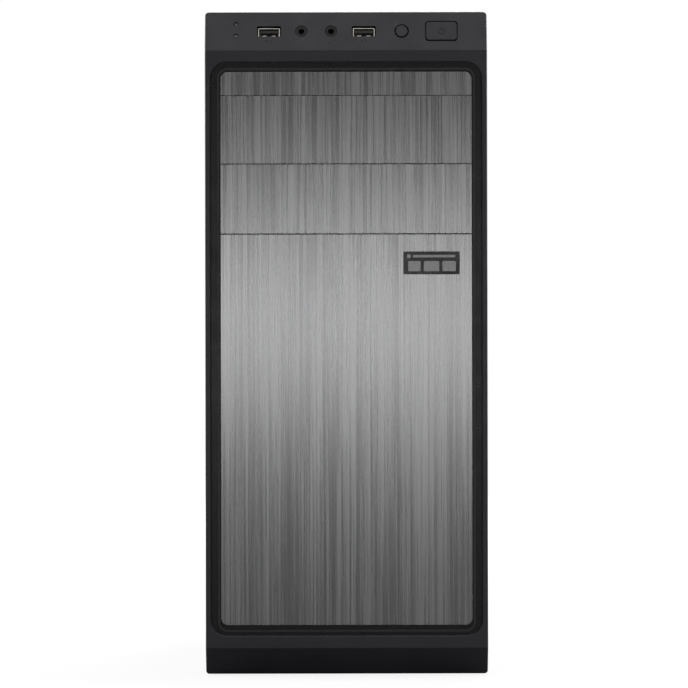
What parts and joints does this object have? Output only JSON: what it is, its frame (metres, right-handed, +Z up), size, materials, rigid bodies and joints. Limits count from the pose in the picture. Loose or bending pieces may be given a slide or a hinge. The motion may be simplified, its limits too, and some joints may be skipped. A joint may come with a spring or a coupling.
{
  "type": "desktop computer tower",
  "caption": "Mid-size desktop computer case with a moulded black front, brushed grey covers, sliding side panels and its working parts inside.",
  "frame": {"origin": "on the floor under the middle of the tower's box", "axes": "+Z up, front faces -Y, +X to the right seen from the front"},
  "size_m": [0.173, 0.37, 0.4076],
  "materials": {
    "bezel_plastic": "fine moulded texture, black",
    "brushed_insert": "grey with fine vertical brushed streaks",
    "badge_black": "gloss black with plain white bars",
    "button_plastic": "smooth black",
    "led_clear": "clear light pipe",
    "connector_metal": "plated sheet",
    "black_plastic": "moulded black",
    "circuit_board": "solder-masked board",
    "painted_steel": "fine-texture black powder coat",
    "zinc_steel": "galvanised sheet",
    "zinc_screws": "zinc-plated",
    "foot_rubber": "matt",
    "brass_parts": "machined",
    "heatsink_metal": "extruded, satin",
    "fan_plastic": "moulded black",
    "drive_metal": "cast, satin",
    "lid_metal": "polished sheet",
    "slot_plastic": "moulded",
    "lead_black": "sleeved leads",
    "lead_red": "red jacket",
    "nylon": "natural nylon",
    "component_mix": "component cans and chokes",
    "rocker_plastic": "gloss black"
  },
  "bodies": {
    "chassis": {"board_components": "component_mix", "board_connectors": "slot_plastic", "board_standoffs": "brass_parts", "cable_ties": "nylon", "case_screws": "zinc_screws", "chassis_bottom_plate": "zinc_steel", "chassis_front_plate": "zinc_steel", "chassis_rear_plate": "zinc_steel", "chassis_top_plate": "painted_steel", "chipset_heatsink": "heatsink_metal", "cpu_fan_frame": "fan_plastic", "cpu_heatsink": "heatsink_metal", "cpu_power_lead": "lead_black", "cpu_socket": "connector_metal", "drive_data_lead": "lead_red", "drive_power_lead": "lead_black", "expansion_slots": "slot_plastic", "feet": "foot_rubber", "front_panel_lead": "lead_black", "hard_drive": "drive_metal", "hard_drive_cage": "zinc_steel", "hard_drive_lid": "lid_metal", "lead_plugs": "nylon", "main_power_lead": "lead_black", "memory_modules": "circuit_board", "memory_slots": "slot_plastic", "motherboard": "circuit_board", "motherboard_tray": "zinc_steel", "optical_drive_cage": "zinc_steel", "psu_case": "zinc_steel", "psu_circuit_board": "component_mix", "psu_cover": "zinc_steel", "psu_fan_frame": "fan_plastic", "psu_inlet": "black_plastic", "rear_fan_frame": "fan_plastic", "rear_io_ports": "connector_metal", "rear_io_shield": "lid_metal", "slot_covers": "zinc_steel"},
    "front_bezel": {"front_bezel": "bezel_plastic", "top_filler_strip": "brushed_insert", "lower_front_panel": "brushed_insert", "badge_plate": "badge_black", "front_io_board": "circuit_board", "front_usb_ports": "connector_metal", "front_audio_jacks": "black_plastic", "front_leds": "led_clear"},
    "upper_bay_cover": {"upper_bay_cover": "brushed_insert"},
    "lower_bay_cover": {"lower_bay_cover": "brushed_insert"},
    "power_button": {"power_button_cap": "button_plastic"},
    "reset_button": {"reset_button_cap": "button_plastic"},
    "left_side_panel": {"left_side_panel": "painted_steel"},
    "right_side_panel": {"right_side_panel": "painted_steel"},
    "left_lower_thumbscrew": {"left_lower_thumbscrew": "zinc_screws"},
    "left_upper_thumbscrew": {"left_upper_thumbscrew": "zinc_screws"},
    "right_lower_thumbscrew": {"right_lower_thumbscrew": "zinc_screws"},
    "right_upper_thumbscrew": {"right_upper_thumbscrew": "zinc_screws"},
    "cpu_fan": {"cpu_fan_rotor": "fan_plastic"},
    "rear_fan": {"rear_fan_rotor": "fan_plastic"},
    "psu_fan": {"psu_fan_rotor": "fan_plastic"},
    "psu_rocker": {"psu_rocker": "rocker_plastic"}
  },
  "joints": [
    {"name": "front_bezel_pull", "type": "slide", "parent": "chassis", "child": "front_bezel", "axis": [0, -1, 0], "range_m": [0, 0.04]},
    {"name": "upper_bay_cover_pull", "type": "slide", "parent": "front_bezel", "child": "upper_bay_cover", "axis": [0, -1, 0], "range_m": [0, 0.03]},
    {"name": "lower_bay_cover_pull", "type": "slide", "parent": "front_bezel", "child": "lower_bay_cover", "axis": [0, -1, 0], "range_m": [0, 0.03]},
    {"name": "power_button_press", "type": "slide", "parent": "front_bezel", "child": "power_button", "axis": [0, 0.9491, -0.315], "range_m": [0, 0.0015], "stiffness_N_per_m": 600, "springref_m": -0.0005},
    {"name": "reset_button_press", "type": "slide", "parent": "front_bezel", "child": "reset_button", "axis": [0, 0.9491, -0.315], "range_m": [0, 0.0015], "stiffness_N_per_m": 600, "springref_m": -0.0005},
    {"name": "left_panel_slide", "type": "slide", "parent": "chassis", "child": "left_side_panel", "axis": [0, 1, 0], "range_m": [0, 0.3]},
    {"name": "right_panel_slide", "type": "slide", "parent": "chassis", "child": "right_side_panel", "axis": [0, 1, 0], "range_m": [0, 0.3]},
    {"name": "left_lower_thumbscrew_turn", "type": "hinge", "parent": "left_side_panel", "child": "left_lower_thumbscrew", "pos_m": [-0.08, 0.1778, 0.033], "axis": [0, 1, 0], "continuous": true},
    {"name": "left_upper_thumbscrew_turn", "type": "hinge", "parent": "left_side_panel", "child": "left_upper_thumbscrew", "pos_m": [-0.08, 0.1778, 0.382], "axis": [0, 1, 0], "continuous": true},
    {"name": "right_lower_thumbscrew_turn", "type": "hinge", "parent": "right_side_panel", "child": "right_lower_thumbscrew", "pos_m": [0.08, 0.1778, 0.033], "axis": [0, 1, 0], "continuous": true},
    {"name": "right_upper_thumbscrew_turn", "type": "hinge", "parent": "right_side_panel", "child": "right_upper_thumbscrew", "pos_m": [0.08, 0.1778, 0.382], "axis": [0, 1, 0], "continuous": true},
    {"name": "cpu_fan_spin", "type": "hinge", "parent": "chassis", "child": "cpu_fan", "pos_m": [0.0154, 0.095, 0.245], "axis": [1, 0, 0], "continuous": true},
    {"name": "rear_fan_spin", "type": "hinge", "parent": "chassis", "child": "rear_fan", "pos_m": [-0.035, 0.1622, 0.265], "axis": [0, 1, 0], "continuous": true},
    {"name": "psu_fan_spin", "type": "hinge", "parent": "chassis", "child": "psu_fan", "pos_m": [0, 0.1, 0.3275], "axis": [0, 0, 1], "continuous": true},
    {"name": "psu_rocker_tilt", "type": "hinge", "parent": "chassis", "child": "psu_rocker", "pos_m": [-0.012, 0.172, 0.372], "axis": [1, 0, 0], "range_deg": [0, 16]}
  ]
}
